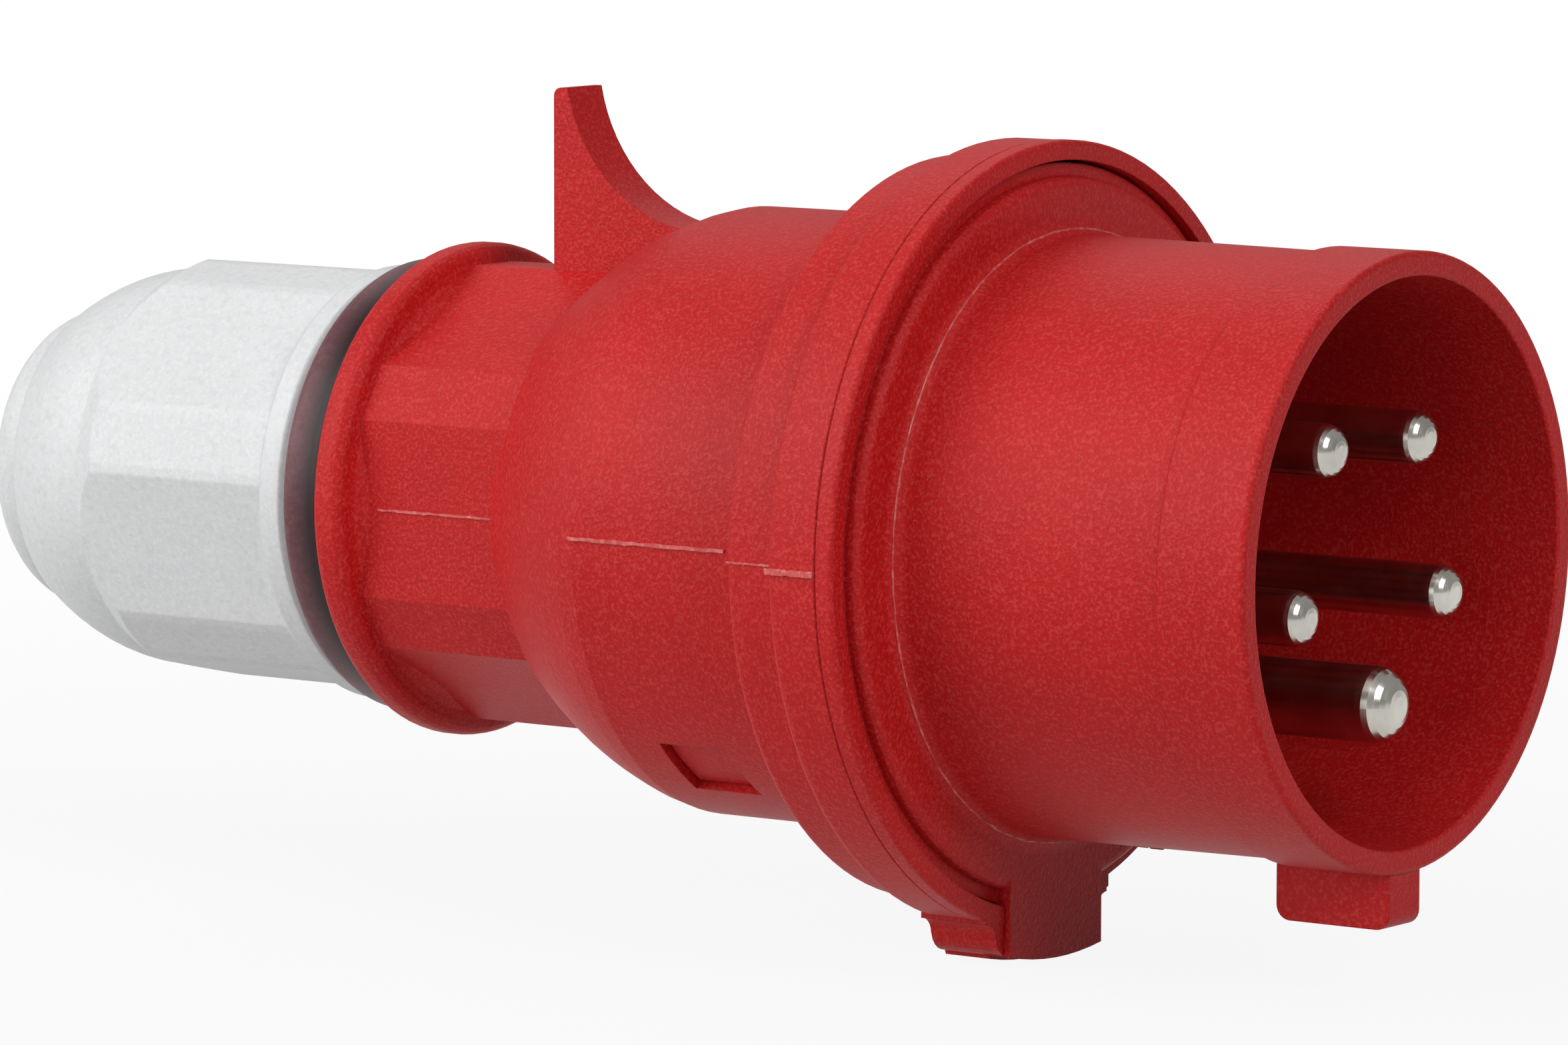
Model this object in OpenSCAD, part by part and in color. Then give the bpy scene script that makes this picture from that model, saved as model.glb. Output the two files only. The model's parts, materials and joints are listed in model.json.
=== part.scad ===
// Industrial pin and sleeve plug, five pole, 16 A size, with a latched rear housing and a cable gland.
// The plug's axis is X: the sleeve's rim is at x = 0, the pins point to +X, and the gland is at -X.
// The key and the earth pin are at the bottom (-Z) and the fin is on top (+Z).

/* [Sleeve] */
// Outer radius of the sleeve at its rim
sleeve_r = 27.9; // [24:0.05:32]
// Wall of the sleeve at its rim
sleeve_wall = 2.25; // [1.6:0.05:3]
// Depth of the sleeve, from the rim to the floor that the pins stand on
sleeve_depth = 38.5; // [34:0.5:44]
// Length of the raised band round the rim
band_len = 8.8; // [5:0.1:14]
// Height of the raised band above the sleeve behind it
band_step = 0.55; // [0.2:0.05:0.8]
// Growth of the sleeve's radius from the band to the flange
sleeve_draft = 0.3; // [0:0.05:0.6]
// Radius of the rounding on the rim's outer edge
rim_round = 0.5; // [0.3:0.05:1]

/* [Key] */
// Width of the key under the sleeve
key_w = 5.1; // [4:0.1:7]
// Distance of the key's front face behind the rim
key_back = 0.4; // [0.2:0.1:1]
// Distance of the key's rear face behind the rim
key_len = 12.3; // [8:0.1:16]
// Height of the key below the sleeve
key_h = 4.9; // [3:0.1:6]
// Rounding of the key's lower corners
key_round = 1.4; // [0.5:0.1:2.5]

/* [Flange] */
// Radius of the front housing's flange
flange_r = 34.1; // [32:0.1:36]
// Distance of the flange's front face behind the rim
flange_back = 37.1; // [33:0.1:42]
// Thickness of the flange
flange_t = 4.4; // [3:0.1:6]
// Width of the shallow rebate round the flange's front edge
rebate_w = 1.2; // [0.6:0.1:2]
// Depth of the rebate
rebate_depth = 1.5; // [0.8:0.1:2]
// Rounding of the flange's front edge inside the rebate
flange_round = 1; // [0.4:0.1:1.4]
// Half width of the lug on the flange
front_lug_half = 7.5; // [5:0.1:9]
// Offset of the flange's lug from the middle, towards the closed end of its slot
front_lug_offset = 1.1; // [0:0.1:1.6]
// Reach of the flange's lug from the plug's axis
lug_r = 38.9; // [37.5:0.1:42]
// Thickness of the front lug
front_lug_t = 2.7; // [2:0.1:3.5]
// Length of the front housing's skirt behind the gasket
skirt_len = 8.5; // [6:0.1:10]

/* [Bell] */
// Outer radius of the bell's front ring
bell_r = 36.2; // [35.3:0.1:38.5]
// Play between the flange and the bell's wall
bell_gap = 0.3; // [0.2:0.05:0.6]
// Rounding of the bell's front edge
bell_round = 0.5; // [0.3:0.1:1.6]
// Distance of the fine line round the bell behind its front edge
bell_line = 1.9; // [1.8:0.1:3]
// Length of the bell's front ring
bell_len = 7.3; // [6.8:0.1:9]
// Radius of the lower ring behind the front ring
step_r = 34.4; // [32:0.1:35.2]
// Length of the lower ring
step_len = 5.6; // [3:0.1:7]
// Radius of the fillets between the bell and its lug
lug_fillet = 1.6; // [0.8:0.1:2]
// Radius of the corners of the bell's lug
lug_round = 2.2; // [1:0.1:3]
// Half width of the lug on the bell
rear_lug_half = 10; // [6:0.1:12]
// Reach of the lug on the bell from the plug's axis
rear_lug_r = 39.2; // [37.5:0.1:42]
// Play between the flange's lug and its slot
lug_play = 0.15; // [0.1:0.05:0.4]
// Angle, from the plug's underside, to the open side of the slot that the flange's lug turns in
lug_slot_a = 30; // [20:1:40]
// Thickness of the gasket between the housings
gasket_t = 1.8; // [1:0.1:2]

/* [Body] */
// Outer radius of the body
body_r = 28.6; // [27.8:0.1:31]
// Wall of the rear housing
body_wall = 2.3; // [1.8:0.1:2.6]
// Length of the straight body behind the bell
body_len = 22.3; // [20:0.1:30]
// Length of the cone between the body and the neck
cone_len = 15.2; // [10:0.1:20]
// Height of the cone's rounding above a straight slope
cone_bulge = 1.1; // [0:0.1:1.6]
// Corner radius of the twelve-sided neck
neck_r = 22; // [20.8:0.1:23]
// Length of the neck
neck_len = 15.2; // [12:0.1:20]
// Angle that each broad face of the neck spans
neck_face_a = 45; // [36:1:48]
// Side of the square latch windows
window_w = 7.5; // [6:0.1:9]
// Angle of the latch windows below the side of the body
window_a = 50; // [40:1:56]
// Distance of the latch windows behind the lower ring
window_back = 9.6; // [7:0.1:12]
// Play round each latch in its window
latch_gap = 0.3; // [0.2:0.05:0.5]
// Depth of the latch's head below the body's surface
latch_sink = 0.8; // [0.4:0.1:1.2]

/* [Fin] */
// Thickness of the fin
fin_t = 5.4; // [4:0.1:7]
// Height of the fin's top above the plug's axis
fin_top = 39.1; // [36:0.1:42]
// Width of the fin's flat top
fin_land = 1.6; // [1.2:0.1:4]
// Distance of the fin's back edge behind the end of the cone
fin_back = 5.6; // [3:0.1:8]
// Radius of the fin's hollow front edge
fin_curve_r = 15.9; // [14:0.1:20]

/* [Collar and spigot] */
// Radius of the collar
collar_r = 23.7; // [22.8:0.1:26]
// Thickness of the collar
collar_t = 3.4; // [2.5:0.1:5]
// Radius of the collar's rounded edges
collar_round = 1.2; // [0.5:0.1:1.5]
// Radius of the hollow between the collar and the neck
collar_fillet = 2; // [1:0.1:3]
// Outer radius of the threaded spigot
spigot_r = 18.35; // [17.6:0.05:18.6]
// Length of the spigot behind the collar
spigot_len = 20.8; // [17:0.1:24]
// Bore radius of the spigot
spigot_bore_r = 15; // [14.2:0.1:15.6]

/* [Gland] */
// Outer radius of the ring between the collar and the nut
ring_r = 21.9; // [21:0.1:23]
// Thickness of the ring between the collar and the nut
ring_t = 5; // [3:0.1:6]
// Corner radius of the nut's faces
nut_r = 20.85; // [20.2:0.05:22]
// Angle that each broad face of the nut spans
nut_face_a = 42; // [34:1:46]
// Angle of the nut's narrow faces above the side of the plug
nut_turn = 13.5; // [0:0.5:30]
// Length of the round band at the nut's mouth
nut_band = 3; // [1.5:0.1:5]
// Height of the band above the corners of the faces
nut_band_step = 0.15; // [0:0.05:0.5]
// Length of the nut's faces
nut_face_len = 21.2; // [18:0.1:26]
// Length of the chamfer that ends the faces
nut_bevel_len = 2.6; // [1.5:0.1:4]
// Radial drop of that chamfer
nut_bevel_drop = 1.3; // [0.6:0.1:1.8]
// Length of the nut's domed end, behind the faces
dome_len = 18.9; // [17:0.1:22]
// Radius of the lip round the cable entry
lip_r = 14.9; // [13.5:0.1:15.4]
// Length of the lip
lip_len = 5.2; // [3.5:0.1:6]
// Radius of the cable entry
entry_r = 9.6; // [8.5:0.1:11]
// Radial running clearance of the nut's thread
thread_play = 0.08; // [0.03:0.01:0.1]
// Bore radius of the cable grommet
grommet_bore_r = 7.5; // [5:0.1:9]
// Number of fingers in the clamping cage
fingers = 12; // [6:1:16]
// Width of the slots between the fingers
finger_slot = 1.2; // [0.8:0.1:2]

/* [Pins] */
// Radius of the circle that the pins stand on
pin_circle_r = 12.9; // [12.4:0.1:13.6]
// Radius of the phase and neutral pins
pin_r = 2.5; // [2:0.05:3]
// Radius of the earth pin
earth_r = 3.5; // [3:0.05:4]
// Distance of the phase pins' tips behind the rim
pin_tip = 2.7; // [1:0.1:5]
// Distance of the earth pin's tip behind the rim
earth_tip = 1.1; // [0.2:0.1:4]
// Height of each pin's shoulder, inside the floor, above its shank
pin_shoulder = 0.4; // [0.2:0.05:0.8]
// Radius of the terminal behind each phase pin
terminal_r = 4.25; // [3.8:0.05:4.6]
// Radius of the terminal behind the earth pin
earth_terminal_r = 5.2; // [4.7:0.05:5.5]
// Length of the terminals
terminal_len = 19.9; // [19:0.1:22]
// Radius of the conductor hole in a phase terminal
wire_r = 2.1; // [1.6:0.05:2.4]
// Radius of the conductor hole in the earth terminal
earth_wire_r = 2.6; // [2:0.05:3]
// Depth of the conductor holes
wire_depth = 13.4; // [11:0.1:15]
// Thread radius of a phase terminal's screw
screw_r = 2; // [1.5:0.05:2.2]
// Thread radius of the earth terminal's screw
earth_screw_r = 2.5; // [2:0.05:2.7]
// Head height of the terminal screws
screw_head_h = 2.6; // [2:0.1:3]
// Travel of the terminal screws
screw_travel = 2.8; // [1.5:0.1:3]
// Wall of the chambers round the terminals
chamber_wall = 1.6; // [1:0.1:1.8]
// Distance of each terminal's screw from the terminal's rear end
screw_inset = 6.4; // [5:0.1:8]
// Thickness of the plate that holds the pins from behind
retainer_t = 2.8; // [2:0.1:4]
// Thread radius of the plate's screws
retainer_screw_r = 1.5; // [1:0.05:1.8]

/* [Hidden] */

$fn = 96;
play = 0.15;       // loose fit of a fixed piece in its seat
clear = 0.3;       // gap between pieces that move past each other
eps = 0.01;        // overlap of joined solids
red = "#c8403c";
grey = "#dfe1e4";
black = "#3a2c32";
nickel = "#c9cbd0";
steel = "#8f9399";
dark_grey = "#4a4d52";

// Stations along the axis, from the rim backwards
sleeve_bore_r = sleeve_r - sleeve_wall;
floor_x = -sleeve_depth;
flange_x = -flange_back;
flange_rear = flange_x - flange_t;
seat_x = flange_rear - gasket_t;
bell_x = flange_x - 0.5;
bell_rear = bell_x - bell_len;
step_rear = bell_rear - step_len;
body_rear = step_rear - body_len;
cone_rear = body_rear - cone_len;
collar_x = cone_rear - neck_len;
collar_rear = collar_x - collar_t;
spigot_end = collar_rear - spigot_len;
ring_rear = collar_rear - ring_t;
nut_x = ring_rear - clear;
face_x = nut_x - nut_band;
face_rear = face_x - nut_face_len;
nut_end = face_rear - dome_len;

// Front housing, behind the flange
core_t = 5;
core_rear = floor_x - core_t;
body_bore_r = body_r - body_wall;
skirt_r = body_bore_r - play;
skirt_wall = 2.2;
skirt_rear = seat_x - skirt_len;
terminal_rear = core_rear - terminal_len;
screw_x = terminal_rear + screw_inset;
retainer_r = skirt_r - skirt_wall - 1.2;
boss_circle_r = pin_circle_r + 5.6;
boss_r = 3.1;

// Windows and latches
window_x = step_rear - window_back;

// Gland
neck_bore_r = 18;
shoulder_t = 3;
shoulder_rear = collar_rear - shoulder_t;
shoulder_bore_r = 12.6;
nut_bore_r = spigot_r + thread_play;
taper_x = spigot_end - 2.6;
taper_end = nut_end + lip_len;
taper_end_r = entry_r + 0.6;
cage_flange_t = 2.4;
cage_bore_r = 12.4;
cage_tip = spigot_end - 10.2;
washer_x = cage_tip - clear;
washer_t = 1;

// name, angle about the axis, earth or not
LEADS = [["l1", 198, false], ["l2", 126, false], ["l3", 54, false], ["neutral", -18, false],
         ["earth", -90, true]];

function lead(name) = [for (l = LEADS) if (l[0] == name) l][0];
function lead_angle(name) = lead(name)[1];
function is_earth(name) = lead(name)[2];
function shank_r(name) = is_earth(name) ? earth_r : pin_r;
function tip_x(name) = is_earth(name) ? -earth_tip : -pin_tip;
function barrel_r(name) = is_earth(name) ? earth_terminal_r : terminal_r;
function hole_r(name) = is_earth(name) ? earth_wire_r : wire_r;
function thread_r(name) = is_earth(name) ? earth_screw_r : screw_r;
function head_r(name) = thread_r(name) + 1.3;
function boss_angles() = [90, -54, -126];

// Half the width across the neck's broad faces
neck_flat_r = neck_r * cos(neck_face_a / 2);
// Radius of the cone's outside at a station x
function cone_r(x) = let (t = (body_rear - x) / cone_len)
    body_r - t * (body_r - neck_flat_r + play) + cone_bulge * sin(180 * min(1, max(0, t)));
// Radius inside the nut's taper at a station x
function taper_r(x) = nut_bore_r + (x - taper_x) / (taper_x - taper_end) * (nut_bore_r - taper_end_r);

// Points of an arc about [cx, cy] from angle a0 to a1
function arc(cx, cy, r, a0, a1, n = 6) =
    [for (i = [0 : n]) let (a = a0 + (a1 - a0) * i / n) [cx + r * cos(a), cy + r * sin(a)]];

// Turns an outline of [x, radius] points about the plug's axis
module turned(points) {
    rotate([0, 90, 0]) rotate_extrude() polygon([for (p = points) [p[1], p[0]]]);
}

// A rod along the plug's axis from x0 to x1
module rod(x0, x1, r) {
    translate([min(x0, x1), 0, 0]) rotate([0, 90, 0]) cylinder(h = abs(x1 - x0), r = r);
}

// Children placed on a circle about the plug's axis; angle 0 is +Y and 90 is +Z
module at_angle(a, r) {
    rotate([a, 0, 0]) translate([0, r, 0]) children();
}

// Six broad faces and six narrow ones, with a broad face at angle turn
module twelve_sided(x0, x1, r, broad_a, turn) {
    corners = [for (i = [0 : 5]) for (s = [-1, 1]) let (a = turn + 60 * i + s * broad_a / 2)
               [-r * sin(a), r * cos(a)]];
    translate([x0, 0, 0]) rotate([0, 90, 0]) linear_extrude(height = x1 - x0) polygon(corners);
}

// A radial block: half its width across, from radius r0 to r1, between stations x0 and x1
module radial_block(a, half_w, r0, r1, x0, x1) {
    rotate([a, 0, 0]) translate([min(x0, x1), r0, -half_w]) cube([abs(x1 - x0), r1 - r0, 2 * half_w]);
}

// ---- Front housing: sleeve, key, flange, lug, pin floor, chambers and latches in one moulding ----

module sleeve_wall_solid() {
    back_r = sleeve_r - band_step;
    root_r = back_r + sleeve_draft;
    turned(concat(
        arc(-rim_round, sleeve_r - rim_round, rim_round, 90, 0),
        arc(-rim_round / 2, sleeve_bore_r + rim_round / 2, rim_round / 2, 0, -90, 3),
        [[floor_x, sleeve_bore_r - sleeve_draft], [floor_x, 0], [core_rear, 0], [core_rear, skirt_r - 1],
         [flange_rear, skirt_r - 1], [flange_rear, flange_r],
         [flange_x - rebate_depth, flange_r], [flange_x - rebate_depth, flange_r - rebate_w]],
        arc(flange_x - flange_round, flange_r - rebate_w - flange_round, flange_round, 90, 0, 4),
        arc(flange_x + 1.6, root_r + 1.6, 1.6, 180, 270, 5),
        [[-band_len - 0.5, back_r], [-band_len, sleeve_r]]));
}

module key() {
    bottom = -(sleeve_r + key_h);
    top = -(sleeve_r - sleeve_wall / 2);
    translate([0, key_w / 2, 0]) rotate([90, 0, 0]) linear_extrude(height = key_w)
        polygon(concat([[-key_len, top], [-key_back, top]],
                       arc(-key_back - key_round, bottom + key_round, key_round, 0, -90),
                       arc(-key_len + key_round, bottom + key_round, key_round, -90, -180)));
}

module front_lug() {
    intersection() {
        rod(flange_x - front_lug_t, flange_x, lug_r);
        translate([flange_x - front_lug_t, -front_lug_half - front_lug_offset, -lug_r - 1])
            cube([front_lug_t, 2 * front_lug_half, lug_r - sleeve_r + 2]);
    }
}

module skirt() {
    turned([[core_rear + eps, skirt_r - skirt_wall], [flange_rear + eps, skirt_r - skirt_wall],
            [flange_rear + eps, skirt_r], [skirt_rear + 0.8, skirt_r], [skirt_rear, skirt_r - 0.8],
            [skirt_rear, skirt_r - skirt_wall]]);
}

module latch(side) {
    a = side > 0 ? -window_a : 180 + window_a;
    half_w = window_w / 2 - latch_gap;
    head_x = window_x - latch_gap;
    tail_x = window_x - window_w + latch_gap;
    intersection() {
        rod(tail_x, skirt_rear + 2, skirt_r);
        difference() {
            radial_block(a, half_w, 10, skirt_r + 1, tail_x, skirt_rear + 2);
            rod(tail_x - 1, skirt_rear + 3, skirt_r - skirt_wall);
        }
    }
    intersection() {
        rod(tail_x, head_x, body_r - latch_sink);
        radial_block(a, half_w, skirt_r - 1, body_r, tail_x, head_x);
    }
}

module chamber_outside(name) {
    at_angle(lead_angle(name), pin_circle_r)
        rod(terminal_rear, core_rear + eps, barrel_r(name) + play + chamber_wall);
}

module chamber_inside(name) {
    a = lead_angle(name);
    at_angle(a, pin_circle_r) {
        rod(terminal_rear - 1, core_rear, barrel_r(name) + play);
        rod(core_rear - 1, floor_x + 1, shank_r(name) + pin_shoulder + 0.05);
    }
    // way in for the terminal screw
    rotate([a, 0, 0]) translate([screw_x, pin_circle_r, 0]) rotate([-90, 0, 0])
        cylinder(h = 20, r = head_r(name) + clear);
}

module front_housing() color(red) {
    difference() {
        union() {
            sleeve_wall_solid();
            key();
            front_lug();
            skirt();
            for (side = [-1, 1]) latch(side);
            for (l = LEADS) chamber_outside(l[0]);
            for (a = boss_angles()) at_angle(a, boss_circle_r) rod(terminal_rear, core_rear + eps, boss_r);
        }
        for (l = LEADS) chamber_inside(l[0]);
        for (a = boss_angles()) at_angle(a, boss_circle_r)
            rod(terminal_rear - 1, terminal_rear + 8.5, retainer_screw_r + 0.02);
    }
}

// ---- Rear housing: bell, body, cone, neck, collar, spigot, fin and lug in one moulding ----

module bell_and_body() {
    line_x = bell_x - bell_line;
    turned(concat(
        [[bell_x, 0]],
        arc(bell_x - bell_round, bell_r - bell_round, bell_round, 0, 90, 6),
        [[line_x + 0.15, bell_r], [line_x, bell_r - 0.25], [line_x - 0.1, bell_r - 0.05]],
        arc(bell_rear + 1, bell_r - 1.05, 1, 90, 180, 4),
        [[bell_rear, step_r]],
        arc(step_rear + 0.8, step_r - 0.8, 0.8, 90, 180, 4),
        arc(step_rear - 0.8, body_r + 0.8, 0.8, 0, -90, 3),
        [[body_rear + 0.6, body_r]],
        [for (i = [1 : 10]) let (x = body_rear - i / 10 * cone_len) [x, cone_r(x)]],
        [[cone_rear, 0]]));
}

module collar_and_spigot() {
    // the hollow ends below the collar's rounded edge
    hollow = min(collar_fillet, collar_r - collar_round - neck_flat_r);
    turned(concat(
        [[collar_x + hollow, 0]],
        arc(collar_x + hollow, neck_flat_r - play + hollow, hollow, -90, -180, 4),
        arc(collar_x - collar_round, collar_r - collar_round, collar_round, 0, 90, 4),
        arc(collar_rear + collar_round, collar_r - collar_round, collar_round, 90, 180, 4),
        [[collar_rear, spigot_r], [spigot_end + 0.8, spigot_r], [spigot_end, spigot_r - 0.8],
         [spigot_end, 0]]));
}

// The hollow from the bell's mouth to the spigot's end
module rear_inside() {
    turned([[bell_x + 1, 0], [bell_x + 1, flange_r + bell_gap], [seat_x, flange_r + bell_gap],
            [seat_x, body_bore_r], [body_rear - 1, body_bore_r], [cone_rear, neck_bore_r],
            [collar_rear + 3, neck_bore_r], [collar_rear, shoulder_bore_r],
            [shoulder_rear, shoulder_bore_r], [shoulder_rear, spigot_bore_r],
            [spigot_end - 1, spigot_bore_r], [spigot_end - 1, 0]]);
}

module fin() {
    back = cone_rear - fin_back;
    front_top = back + fin_land;
    // the hollow's centre: its side starts upright at the end of the top land
    cx = front_top + fin_curve_r;
    cz = fin_top + 3;
    foot_x = body_rear - 3;
    foot_z = cone_r(foot_x) - body_wall / 2;
    rotate([90, 0, 0]) difference() {
        translate([0, 0, -fin_t / 2]) linear_extrude(height = fin_t)
            polygon(concat(
                [[back, neck_bore_r + 1]],
                arc(back + 0.8, fin_top - 0.8, 0.8, 180, 90, 4),
                [[cx, fin_top], [cx, foot_z], [cone_rear, neck_bore_r + 1]]));
        translate([cx - 0.3, cz, -fin_t]) cylinder(h = 2 * fin_t, r = fin_curve_r);
    }
}

module rear_lug() {
    x1 = bell_x - 0.1;
    foot_z = -sqrt(pow(bell_r, 2) - pow(rear_lug_half, 2)) + 0.2;
    bottom_z = 1.2 - rear_lug_r;
    intersection() {
        rod(bell_rear, x1, rear_lug_r);
        translate([bell_rear, 0, 0]) rotate([90, 0, 90]) linear_extrude(height = x1 - bell_rear)
            polygon(concat(
                [[-rear_lug_half - lug_fillet, -step_r + 2]],
                arc(-rear_lug_half - lug_fillet, foot_z - lug_fillet, lug_fillet, 90, 0),
                arc(-rear_lug_half + lug_round, bottom_z + lug_round, lug_round, 180, 270),
                [[-rear_lug_half + lug_round + 1, -rear_lug_r - 1],
                 [rear_lug_half - lug_round - 1, -rear_lug_r - 1]],
                arc(rear_lug_half - lug_round, bottom_z + lug_round, lug_round, -90, 0),
                arc(rear_lug_half + lug_fillet, foot_z - lug_fillet, lug_fillet, 180, 90),
                [[rear_lug_half + lug_fillet, -step_r + 2]]));
    }
}

// Slot in the bell for the flange's lug, open to one side so that the housings twist together
module lug_slot() {
    deep_y = rear_lug_half + lug_fillet + clear;
    y0 = -front_lug_half - front_lug_offset - lug_play;
    a = lug_slot_a - 90;
    translate([flange_x - front_lug_t - lug_play, y0, -lug_r - 1])
        cube([front_lug_t + 1, deep_y + 0.5 - y0, lug_r - body_r]);
    translate([flange_rear, 0, 0]) rotate([90, 0, 90]) linear_extrude(height = flange_t + 1)
        polygon([[deep_y, -body_r], [deep_y, -lug_r - 2], [(lug_r + 2) * cos(a), -lug_r - 2],
                 [(lug_r + 2) * cos(a), (lug_r + 2) * sin(a)], [body_r * cos(a), body_r * sin(a)]]);
}

module rear_housing() color(red) {
    difference() {
        union() {
            bell_and_body();
            twelve_sided(collar_x - 1, body_rear, neck_r, neck_face_a, 0);
            collar_and_spigot();
            fin();
            rear_lug();
        }
        rear_inside();
        lug_slot();
        // latch windows
        for (a = [-window_a, 180 + window_a])
            radial_block(a, window_w / 2, body_bore_r - 2, body_r + 2, window_x, window_x - window_w);
    }
}

// ---- Seals ----

module housing_gasket() color(black) {
    turned([[seat_x, body_bore_r + 1], [seat_x, flange_r], [flange_rear, flange_r],
            [flange_rear, body_bore_r + 1]]);
}

module gland_ring() color(black) {
    turned(concat([[collar_rear, spigot_r + 0.05]],
                  arc(collar_rear - 0.9, ring_r - 0.9, 0.9, 0, 90, 4),
                  arc(ring_rear + 0.9, ring_r - 0.9, 0.9, 90, 180, 4),
                  [[ring_rear, spigot_r + 0.05]]));
}

module cable_grommet() color(black) {
    front = shoulder_rear;
    turned([[front, grommet_bore_r + 1.2], [front, spigot_bore_r - 0.05],
            [spigot_end + play, spigot_bore_r - 0.05],
            [spigot_end + play, cage_bore_r - play], [cage_tip + 1, cage_bore_r - play],
            [cage_tip + 1, grommet_bore_r + 0.8], [cage_tip + 1.8, grommet_bore_r],
            [front - 1.2, grommet_bore_r]]);
}

// ---- Gland ----

module clamp_cage() color(grey) {
    flange_end = spigot_end - cage_flange_t;
    tip_r = taper_r(cage_tip) - clear;
    difference() {
        turned([[spigot_end, cage_bore_r], [spigot_end, nut_bore_r - 0.5], [flange_end, nut_bore_r - 0.5],
                [flange_end, taper_r(flange_end - 1) - 0.8], [cage_tip, tip_r],
                [cage_tip, cage_bore_r]]);
        for (i = [0 : fingers - 1]) rotate([i * 360 / fingers, 0, 0])
            translate([cage_tip - 1, 0, -finger_slot / 2])
                cube([flange_end - cage_tip + 1, nut_bore_r, finger_slot]);
    }
}

module slip_washer() color(steel) {
    turned([[washer_x, entry_r + 0.6], [washer_x, taper_r(washer_x - washer_t) - 0.1],
            [washer_x - washer_t, taper_r(washer_x - washer_t) - 0.1], [washer_x - washer_t, entry_r + 0.6]]);
}

module nut_outside() {
    // band at the mouth, faces, rounded dome, then a lip
    band_r = nut_r + nut_band_step;
    lip_x = nut_end + lip_len;
    dome_x = face_rear - nut_bevel_len;
    dome_r = nut_r - nut_bevel_drop;
    dome_h = lip_x - dome_x;
    turned(concat(
        [[nut_x, 0], [nut_x, band_r - 0.7], [nut_x - 0.7, band_r], [face_x + play, band_r], [face_x - play, nut_r],
         [face_rear, nut_r], [dome_x, dome_r]],
        [for (i = [1 : 8]) let (t = i / 8)
            [dome_x + dome_h * t, lip_r + 1 + (dome_r - lip_r - 1) * (1 - pow(t, 1.9))]],
        [[lip_x - 0.2, lip_r]],
        arc(nut_end + 4, lip_r - 4, 4, 90, 180, 8),
        [[nut_end, 0]]));
}

module gland_nut() color(grey) {
    difference() {
        nut_outside();
        // flats: what lies outside the twelve faces, which leave a narrow round land at each corner
        difference() {
            rod(face_x, face_rear - 9, nut_r + 2);
            twelve_sided(face_rear - 10, face_x + 1, nut_r + 0.1, nut_face_a, 30 - nut_turn);
        }
        turned([[nut_x + 1, 0], [nut_x + 1, nut_bore_r + 1], [nut_x, nut_bore_r + 1],
                [nut_x - 1, nut_bore_r], [taper_x, nut_bore_r], [taper_end, taper_end_r],
                [taper_end - 0.6, entry_r], [nut_end + 0.8, entry_r], [nut_end, entry_r + 0.8],
                [nut_end - 1, entry_r + 0.8], [nut_end - 1, 0]]);
    }
}

// ---- Pins, terminals and their screws ----

module pin_blank(name) {
    r = shank_r(name);
    tip = tip_x(name);
    dome = r * 0.75;
    rb = barrel_r(name);
    rotate([0, 90, 0]) rotate_extrude() polygon([for (p = concat(
        [[tip, 0]],
        arc(tip - dome, r - dome, dome, 0, 90, 7),
        [[floor_x, r], [floor_x, r + pin_shoulder], [core_rear, r + pin_shoulder],
         [core_rear, rb - 0.4], [core_rear - 0.4, rb], [terminal_rear + 0.4, rb],
         [terminal_rear, rb - 0.4], [terminal_rear, 0]])) [p[1], p[0]]]);
}

module pin(name) color(nickel) {
    a = lead_angle(name);
    difference() {
        at_angle(a, pin_circle_r) pin_blank(name);
        at_angle(a, pin_circle_r) rod(terminal_rear - 1, terminal_rear + wire_depth, hole_r(name));
        rotate([a, 0, 0]) translate([screw_x, pin_circle_r, 0]) rotate([-90, 0, 0])
            cylinder(h = barrel_r(name) + 1, r = thread_r(name) + 0.05);
    }
}

module terminal_screw(name) color(steel) {
    a = lead_angle(name);
    r = thread_r(name);
    start = hole_r(name) + 0.2;
    head = barrel_r(name) + play + chamber_wall + screw_travel - 0.6;
    rotate([a, 0, 0]) translate([screw_x, pin_circle_r, 0]) rotate([-90, 0, 0]) difference() {
        union() {
            translate([0, 0, start]) cylinder(h = head - start + eps, r = r);
            translate([0, 0, head]) cylinder(h = screw_head_h, r = head_r(name));
        }
        translate([-head_r(name) - 1, -0.5, head + screw_head_h - 1.2])
            cube([2 * head_r(name) + 2, 1, 2]);
    }
}

module pin_retainer() color(dark_grey) {
    x1 = terminal_rear;
    x0 = x1 - retainer_t;
    difference() {
        turned([[x1, 0], [x1, retainer_r], [x0 + 0.5, retainer_r], [x0, retainer_r - 0.5], [x0, 0]]);
        for (l = LEADS) at_angle(l[1], pin_circle_r) rod(x0 - 1, x1 + 1, hole_r(l[0]) + 0.9);
        for (a = boss_angles()) at_angle(a, boss_circle_r) rod(x0 - 1, x1 + 1, retainer_screw_r + 0.2);
        rod(x0 - 1, x1 + 1, 3);
    }
}

module retainer_screws() color(steel) {
    for (a = boss_angles()) at_angle(a, boss_circle_r) {
        x0 = terminal_rear - retainer_t;
        rod(x0 - eps, x0 + retainer_t + 6, retainer_screw_r);
        difference() {
            rod(x0 - 1.8, x0, retainer_screw_r + 1.3);
            translate([x0 - 2.8, -4, -0.4]) cube([1.8, 8, 0.8]);
        }
    }
}

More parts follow.
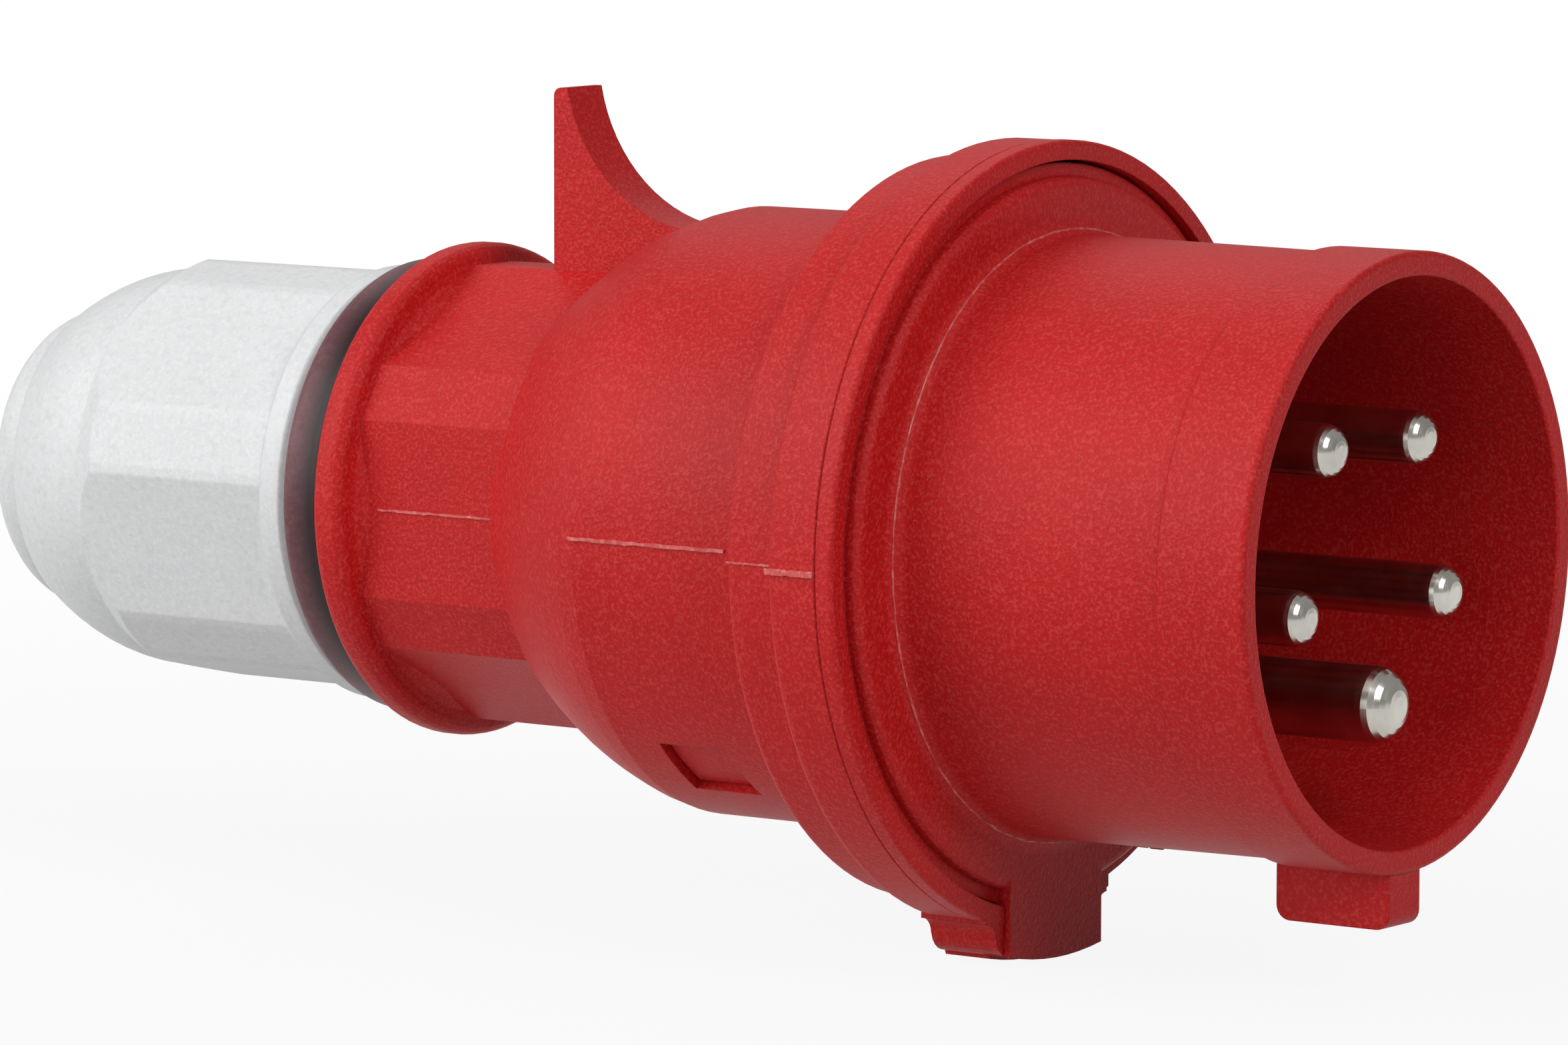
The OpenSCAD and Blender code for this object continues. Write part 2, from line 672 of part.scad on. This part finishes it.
front_housing();
rear_housing();
housing_gasket();
gland_ring();
gland_nut();
slip_washer();
clamp_cage();
cable_grommet();
pin("l1");  // pin_l1
pin("l2");  // pin_l2
pin("l3");  // pin_l3
pin("neutral");  // pin_neutral
pin("earth");  // pin_earth
terminal_screw("l1");  // screw_l1
terminal_screw("l2");  // screw_l2
terminal_screw("l3");  // screw_l3
terminal_screw("neutral");  // screw_neutral
terminal_screw("earth");  // screw_earth
pin_retainer();
retainer_screws();
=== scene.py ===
import json
import math

import bpy
from mathutils import Matrix, Vector


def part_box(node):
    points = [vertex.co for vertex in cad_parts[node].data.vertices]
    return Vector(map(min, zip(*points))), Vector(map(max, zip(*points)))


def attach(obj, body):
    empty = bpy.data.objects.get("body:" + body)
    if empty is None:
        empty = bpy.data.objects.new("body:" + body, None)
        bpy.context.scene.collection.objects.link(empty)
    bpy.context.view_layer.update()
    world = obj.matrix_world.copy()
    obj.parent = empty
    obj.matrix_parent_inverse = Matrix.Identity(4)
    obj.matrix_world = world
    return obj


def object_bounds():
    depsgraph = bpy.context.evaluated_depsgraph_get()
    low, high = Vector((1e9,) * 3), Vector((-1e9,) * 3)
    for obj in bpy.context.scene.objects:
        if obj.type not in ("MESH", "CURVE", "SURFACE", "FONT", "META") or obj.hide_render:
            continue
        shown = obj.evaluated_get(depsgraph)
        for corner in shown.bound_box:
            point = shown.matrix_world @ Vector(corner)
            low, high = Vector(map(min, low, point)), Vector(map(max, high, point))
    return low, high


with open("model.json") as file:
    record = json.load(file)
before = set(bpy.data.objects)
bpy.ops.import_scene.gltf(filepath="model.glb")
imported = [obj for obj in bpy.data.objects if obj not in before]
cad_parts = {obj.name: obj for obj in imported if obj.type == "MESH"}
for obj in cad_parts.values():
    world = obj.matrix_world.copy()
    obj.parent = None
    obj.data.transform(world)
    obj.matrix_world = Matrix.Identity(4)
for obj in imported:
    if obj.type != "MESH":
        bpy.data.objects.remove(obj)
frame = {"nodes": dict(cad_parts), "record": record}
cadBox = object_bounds()
print("frame loaded")

mm = 0.001


# shader maths: a wrapped socket, and one method that adds any other node
class Wire:
    def __init__(self, tree, socket):
        self.tree, self.socket = tree, socket

    def maths(self, kind, *values):
        return Nodes(self.tree).add("ShaderNodeMath", {"operation": kind}, *values)

    def __add__(self, other):
        return self.maths("ADD", self, other)

    def __radd__(self, other):
        return self.maths("ADD", other, self)

    def __sub__(self, other):
        return self.maths("SUBTRACT", self, other)

    def __rsub__(self, other):
        return self.maths("SUBTRACT", other, self)

    def __mul__(self, other):
        return self.maths("MULTIPLY", self, other)

    def __rmul__(self, other):
        return self.maths("MULTIPLY", other, self)

    def between(self, low, high):
        # 0 up to low, 1 from high on
        return Nodes(self.tree).add("ShaderNodeMapRange", {"clamp": True}, self, low, high)


class Nodes:
    def __init__(self, tree):
        self.tree = tree

    def add(self, kind, settings, *values, out=0, at=None, **named):
        # values fill the sockets in order, at names them by number, and named by their labels
        node = self.tree.nodes.new(kind)
        for key, value in settings.items():
            setattr(node, key, value)
        pairs = list(zip(node.inputs, values))
        pairs += [(node.inputs[index], value) for index, value in (at or {}).items()]
        pairs += [(node.inputs[key.replace("_", " ")], value) for key, value in named.items()]
        for socket, value in pairs:
            if isinstance(value, Wire):
                self.tree.links.new(value.socket, socket)
            else:
                socket.default_value = value
        return Wire(self.tree, node.outputs[out]) if len(node.outputs) else None

    def place(self):
        return self.add("ShaderNodeTexCoord", {}, out="Object")

    def rays(self, kind):
        return self.add("ShaderNodeLightPath", {}, out=kind)

    def noise(self, scale, detail=2.0, rough=0.5):
        return self.add("ShaderNodeTexNoise", {}, Vector=self.place(), Scale=scale, Detail=detail,
                        Roughness=rough)

    def blend(self, factor, first, second):
        return self.add("ShaderNodeMix", {"data_type": "RGBA"}, out=2, at={0: factor, 6: first, 7: second})


def newMaterial(name):
    material = bpy.data.materials.new(name)
    material.use_nodes = True
    material.node_tree.nodes.clear()
    return material, Nodes(material.node_tree)


# what all mouldings share: the detail of each noise, the band where it takes over, its share of the relief
mould = {
    "cloudDetail": 3.0, "cloudBand": (0.32, 0.68),
    "grainDetail": 2.0, "grainRough": 0.6, "fleckBand": (0.48, 0.66),
    "speckShare": 0.55, "speckDetail": 3.0, "speckRough": 0.7, "pitBand": (0.5, 0.7), "speckRelief": 0.6,
    "hollowDrift": 0.3 * mm, "grainDrift": 0.15, "edgeSamples": 4, "ior": 1.5,
}


def mouldedPlastic(name, look):
    # eroded mould texture, slow cloudy tone, pale flecks, darker pits, a roughness that drifts, and where a
    # look asks for it, painted shade towards one end
    material, nodes = newMaterial(name)
    cloud = nodes.noise(look["cloudScale"], mould["cloudDetail"])
    grain = nodes.noise(look["grainScale"], mould["grainDetail"], mould["grainRough"])
    speck = nodes.noise(look["grainScale"] * mould["speckShare"], mould["speckDetail"], mould["speckRough"])
    drift = cloud - 0.5
    tone = nodes.blend(cloud.between(*mould["cloudBand"]), look["deep"], look["pale"])
    tone = nodes.blend(grain.between(*mould["fleckBand"]) * look["speckle"], tone, look["fleck"])
    tone = nodes.blend(speck.between(*mould["pitBand"]) * look["pitting"], tone, look["pit"])
    if "hollow" in look:  # painted shade: the colour darkens towards one end, where a neighbouring part shades it
        low, high, dark = look["hollow"]
        along = nodes.add("ShaderNodeSeparateXYZ", {}, nodes.place(), out="X")
        tone = nodes.blend((along + drift * mould["hollowDrift"]).between(low, high), tone, dark)
    roughness = look["rough"] + drift * look["roughSpread"] + (grain - 0.5) * mould["grainDrift"]
    edge = nodes.add("ShaderNodeBevel", {"samples": mould["edgeSamples"]}, look["edge"])
    bump = nodes.add("ShaderNodeBump", {}, Strength=look["bump"], Distance=look["grainDepth"],
                     Height=grain + speck * mould["speckRelief"], Normal=edge)
    shader = nodes.add("ShaderNodeBsdfPrincipled", {}, Base_Color=tone, Roughness=roughness, Normal=bump,
                       IOR=mould["ior"], Specular_IOR_Level=look["gloss"])
    nodes.add("ShaderNodeOutputMaterial", {}, shader)
    return material


# one look for each moulding, with lengths in metres
redLook = {
    "deep": (0.47, 0.006, 0.007, 1), "pale": (0.54, 0.009, 0.010, 1), "fleck": (0.68, 0.075, 0.068, 1),
    "pit": (0.33, 0.002, 0.003, 1), "cloudScale": 55, "grainScale": 2900, "speckle": 0.45, "pitting": 0.32,
    "edge": 0.25 * mm, "rough": 0.5, "roughSpread": 0.12, "bump": 0.9, "grainDepth": 0.1 * mm, "gloss": 0.21,
}
greyLook = {
    "deep": (0.70, 0.715, 0.72, 1), "pale": (0.74, 0.75, 0.755, 1), "fleck": (0.80, 0.81, 0.82, 1),
    "pit": (0.60, 0.61, 0.61, 1), "cloudScale": 60, "grainScale": 2200, "speckle": 0.6, "pitting": 0.5,
    "edge": 0.5 * mm, "rough": 0.48, "roughSpread": 0.1, "bump": 0.5, "grainDepth": 0.08 * mm, "gloss": 0.4,
}
darkLook = {
    "deep": (0.05, 0.052, 0.056, 1), "pale": (0.075, 0.077, 0.082, 1), "fleck": (0.1, 0.1, 0.11, 1),
    "pit": (0.03, 0.03, 0.03, 1), "cloudScale": 80, "grainScale": 2400, "speckle": 0.2, "pitting": 0.3,
    "edge": 0.2 * mm, "rough": 0.5, "roughSpread": 0.1, "bump": 0.3, "grainDepth": 0.05 * mm, "gloss": 0.5,
}
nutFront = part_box("gland_nut")[1][0]
rubberLook = {
    "deep": (0.12, 0.040, 0.048, 1), "pale": (0.17, 0.065, 0.075, 1), "fleck": (0.24, 0.13, 0.14, 1),
    "pit": (0.08, 0.02, 0.025, 1), "cloudScale": 90, "grainScale": 1800, "speckle": 0.3, "pitting": 0.4,
    "edge": 0.2 * mm, "rough": 0.42, "roughSpread": 0.15, "bump": 0.3, "grainDepth": 0.05 * mm, "gloss": 0.3,
    # painted shade: the ring darkens towards the collar, where the collar's shadow falls in the gap
    "hollow": (nutFront + 1.2 * mm, nutFront + 3.8 * mm, (0.014, 0.003, 0.004, 1)),
}
seamLook = {
    "deep": (0.56, 0.045, 0.042, 1), "pale": (0.66, 0.11, 0.10, 1), "fleck": (0.76, 0.28, 0.25, 1),
    "pit": (0.45, 0.02, 0.02, 1), "cloudScale": 400, "grainScale": 1500, "speckle": 0.6, "pitting": 0.5,
    "edge": 0.05 * mm, "rough": 0.45, "roughSpread": 0.1, "bump": 0.4, "grainDepth": 0.08 * mm, "gloss": 0.5,
}

# what both metals share
plating = {"cloudDetail": 3.0, "cloudBand": (0.35, 0.65), "lineDetail": 2.0, "lineDepth": 0.01 * mm}


def platedMetal(name, look):
    # bright plating with fine lines from turning, and small dull spots
    material, nodes = newMaterial(name)
    along = nodes.add("ShaderNodeMapping", {}, nodes.place(), Scale=look["stretch"])
    lines = nodes.add("ShaderNodeTexNoise", {}, Vector=along, Scale=look["lineScale"],
                      Detail=plating["lineDetail"])
    cloud = nodes.noise(look["cloudScale"], plating["cloudDetail"])
    colour = nodes.blend(cloud.between(*plating["cloudBand"]), look["deep"], look["pale"])
    roughness = look["rough"] + (lines - 0.5) * look["roughSpread"] + (cloud - 0.5) * look["roughSpread"]
    bump = nodes.add("ShaderNodeBump", {}, Strength=look["bump"], Distance=plating["lineDepth"], Height=lines)
    shader = nodes.add("ShaderNodeBsdfPrincipled", {}, Base_Color=colour, Roughness=roughness, Normal=bump,
                       Metallic=1.0)
    nodes.add("ShaderNodeOutputMaterial", {}, shader)
    return material


nickelLook = {
    "deep": (0.50, 0.48, 0.43, 1), "pale": (0.62, 0.60, 0.54, 1), "stretch": (6, 1, 1), "lineScale": 900,
    "cloudScale": 300, "rough": 0.22, "roughSpread": 0.10, "bump": 0.06,
}
zincLook = {
    "deep": (0.36, 0.37, 0.39, 1), "pale": (0.48, 0.49, 0.50, 1), "stretch": (3, 1, 1), "lineScale": 700,
    "cloudScale": 400, "rough": 0.36, "roughSpread": 0.2, "bump": 0.2,
}

finishes = {
    "red_plastic": mouldedPlastic("mouldedRed", redLook),
    "grey_plastic": mouldedPlastic("mouldedGrey", greyLook),
    "dark_plastic": mouldedPlastic("mouldedDark", darkLook),
    "dark_rubber": mouldedPlastic("sealRubber", rubberLook),
    "nickel": platedMetal("platedNickel", nickelLook),
    "steel": platedMetal("platedZinc", zincLook),
    "seam": mouldedPlastic("seamRed", seamLook),
}
print("materials made")

# the carried-over nodes keep their meshes and get their finish
slotOf = {part["node"]: part["material_slot"] for part in frame["record"]["subparts"]}
for nodeName, node in frame["nodes"].items():
    node.data.materials.clear()
    node.data.materials.append(finishes[slotOf[nodeName]])
print("nodes dressed")


def deselect():
    if bpy.context.object and bpy.context.object.mode != "OBJECT":
        bpy.ops.object.mode_set(mode="OBJECT")
    bpy.ops.object.select_all(action="DESELECT")


def makeRagged(line, look, seed):
    # roughens a trim line and ties it to the plug
    bpy.ops.object.mode_set(mode="EDIT")
    bpy.ops.mesh.select_all(action="SELECT")
    bpy.ops.transform.vertex_random(offset=look["wobble"] * mm, uniform=look["evenness"], seed=seed)
    bpy.ops.object.mode_set(mode="OBJECT")
    line.data.materials.append(finishes["seam"])
    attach(line, "plug")


# thin ragged ridges where the two halves of the mould met, along both flanks of the rear housing
flash = {
    "runs": [  # name, start and end behind the mouth, distance from the axis, drop, width, all in mm
        ("neck", 63.4, 48.6, 20.30, 0.0, 0.22),
        ("body", 34.8, 17.2, 28.6, 0.0, 0.34),
        ("ring", 12.7, 7.5, 34.36, 0.1, 0.20),
        ("bell", 7.2, 2.0, 36.2, 0.35, 0.55),
    ],
    "height": 0.16, "cuts": 23, "wobble": 0.06, "evenness": 0.4,
}
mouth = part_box("rear_housing")[1][0]


def makeFlash(name, start, end, radius, drop, width, side):
    deselect()
    length = (start - end) * mm
    middle = (mouth - (start + end) / 2 * mm, side * radius * mm, -drop * mm)
    bpy.ops.mesh.primitive_cube_add(size=1, location=middle)
    ridge = bpy.context.object
    ridge.name = f"flash_{name}_{'near' if side < 0 else 'far'}"
    ridge.scale = (length, 2 * flash["height"] * mm, width * mm)
    bpy.ops.object.transform_apply(location=True, rotation=True, scale=True)
    bpy.ops.object.mode_set(mode="EDIT")
    bpy.ops.mesh.select_mode(type="EDGE")
    bpy.ops.mesh.select_all(action="DESELECT")
    bpy.ops.object.mode_set(mode="OBJECT")
    for edge in ridge.data.edges:  # only the four long edges are cut
        a, b = (ridge.data.vertices[i].co for i in edge.vertices)
        edge.select = abs(a.x - b.x) > length / 2
    bpy.ops.object.mode_set(mode="EDIT")
    bpy.ops.mesh.subdivide(number_cuts=flash["cuts"])
    bpy.ops.object.mode_set(mode="OBJECT")
    makeRagged(ridge, flash, seed=len(name) + 3 * (side > 0))


# a fine ragged witness line where the sleeve leaves the flange, its place and size in mm
witness = {
    "behindRim": 36.65, "radius": 28.12, "thick": 0.12, "segments": 180, "sides": 6, "wobble": 0.06,
    "evenness": 0.4, "seed": 11,
}
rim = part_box("front_housing")[1][0]


def makeWitness():
    deselect()
    bpy.ops.mesh.primitive_torus_add(
        major_segments=witness["segments"], minor_segments=witness["sides"],
        major_radius=witness["radius"] * mm, minor_radius=witness["thick"] * mm,
        location=(rim - witness["behindRim"] * mm, 0, 0), rotation=(0, math.pi / 2, 0))
    line = bpy.context.object
    line.name = "sleeve_witness"
    bpy.ops.object.transform_apply(location=True, rotation=True, scale=True)
    makeRagged(line, witness, witness["seed"])


for run in flash["runs"]:
    for side in (-1, 1):
        makeFlash(*run, side)
makeWitness()
print("flash lines made")

# pale floor with a faint shadow that fades out by its end, and the sky's strength for light and for gloss
stage = {
    "floorSize": 6.0, "white": (1, 1, 1, 1), "floorGrey": (0.55, 0.55, 0.55, 1), "shadow": 0.09,
    "shadowStart": 0.1, "shadowEnd": 0.4, "sky": 0.10, "skyGloss": 0.3,
}


def makeFloor():
    deselect()
    low, high = cadBox
    bpy.ops.mesh.primitive_plane_add(size=stage["floorSize"], location=(0, 0, low[2]))
    floor = bpy.context.object
    floor.name = "floor"
    # white to the eye and in gloss, with some of the matt floor's shadow near the object
    material, nodes = newMaterial("paleFloor")
    seen = nodes.rays("Is Camera Ray") + nodes.rays("Is Glossy Ray") + nodes.rays("Is Transmission Ray")
    reach = nodes.add("ShaderNodeVectorMath", {"operation": "DISTANCE"}, nodes.place(),
                      ((low[0] + high[0]) / 2, 0, low[2]), out=1)
    near = 1 - reach.between(stage["shadowStart"], stage["shadowEnd"])
    matt = nodes.add("ShaderNodeBsdfDiffuse", {}, stage["floorGrey"])
    glow = nodes.add("ShaderNodeEmission", {}, stage["white"], 1.0)
    factor = seen.between(0, 1) * (1 - near * stage["shadow"])
    shader = nodes.add("ShaderNodeMixShader", {}, factor, matt, glow)
    nodes.add("ShaderNodeOutputMaterial", {}, shader)
    floor.data.materials.append(material)
    bpy.ops.object.transform_apply(location=True, rotation=True, scale=True)


def makeWorld():
    world = bpy.data.worlds.new("studio")
    bpy.context.scene.world = world
    world.use_nodes = True
    world.node_tree.nodes.clear()
    nodes = Nodes(world.node_tree)
    glossy = nodes.rays("Is Glossy Ray") * stage["skyGloss"]  # a dimmer sky gives the pins a horizon
    seen = nodes.rays("Is Camera Ray") + glossy + nodes.rays("Is Transmission Ray")
    strength = nodes.add("ShaderNodeMapRange", {"clamp": True}, seen, 0, 1, stage["sky"], 1.0)
    sky = nodes.add("ShaderNodeBackground", {}, stage["white"], strength)
    nodes.add("ShaderNodeOutputWorld", {}, sky)


lighting = {
    "aim": (-0.07, 0, 0),
    "lamps": [  # name, place and size in metres, power in watts
        ("keyLamp", (-0.74, -0.70, 0.46), 0.8, 7.2),
        ("topLamp", (-0.05, -0.40, 0.85), 0.7, 2.0),
        ("fillLamp", (0.05, -1.0, -0.06), 0.8, 3.0),
        ("sideLamp", (0.78, -0.32, 0.58), 0.5, 4.3),
        ("backLamp", (-0.50, 0.54, 0.82), 0.7, 1.4),
    ],
}


def makeLamps():
    aim = Vector(lighting["aim"])
    for name, place, size, power in lighting["lamps"]:
        light = bpy.data.lights.new(name, "AREA")
        light.size, light.energy = size, power
        lamp = bpy.data.objects.new(name, light)
        bpy.context.scene.collection.objects.link(lamp)
        lamp.location = place
        lamp.rotation_euler = (aim - Vector(place)).to_track_quat("-Z", "Y").to_euler()


# angles in radians, distances in metres, lens and sensor in millimetres
camera = {
    "yaw": 0.62225, "pitch": 0.11225, "roll": -0.0015, "distance": 0.80203,
    "target": (-0.068698, 0, -0.000889), "lens": 196.73, "sensor": 36, "clipStart": 0.01,
}


def makeCamera():
    yaw, pitch, roll = camera["yaw"], camera["pitch"], camera["roll"]
    ahead = Vector((-math.sin(yaw) * math.cos(pitch), math.cos(yaw) * math.cos(pitch), -math.sin(pitch)))
    right = Vector((math.cos(yaw), math.sin(yaw), 0))
    down = ahead.cross(right)
    rightRolled = right * math.cos(roll) + down * math.sin(roll)
    downRolled = down * math.cos(roll) - right * math.sin(roll)
    data = bpy.data.cameras.new("camera")
    data.lens, data.sensor_width, data.clip_start = camera["lens"], camera["sensor"], camera["clipStart"]
    eye = bpy.data.objects.new("camera", data)
    bpy.context.scene.collection.objects.link(eye)
    turn = Matrix((rightRolled, -downRolled, -ahead)).transposed()
    place = Vector(camera["target"]) - ahead * camera["distance"]
    eye.matrix_world = Matrix.Translation(place) @ turn.to_4x4()
    bpy.context.scene.camera = eye


makeFloor()
makeWorld()
makeLamps()
makeCamera()
bpy.context.scene.view_settings.view_transform = "Standard"
print("stage set")
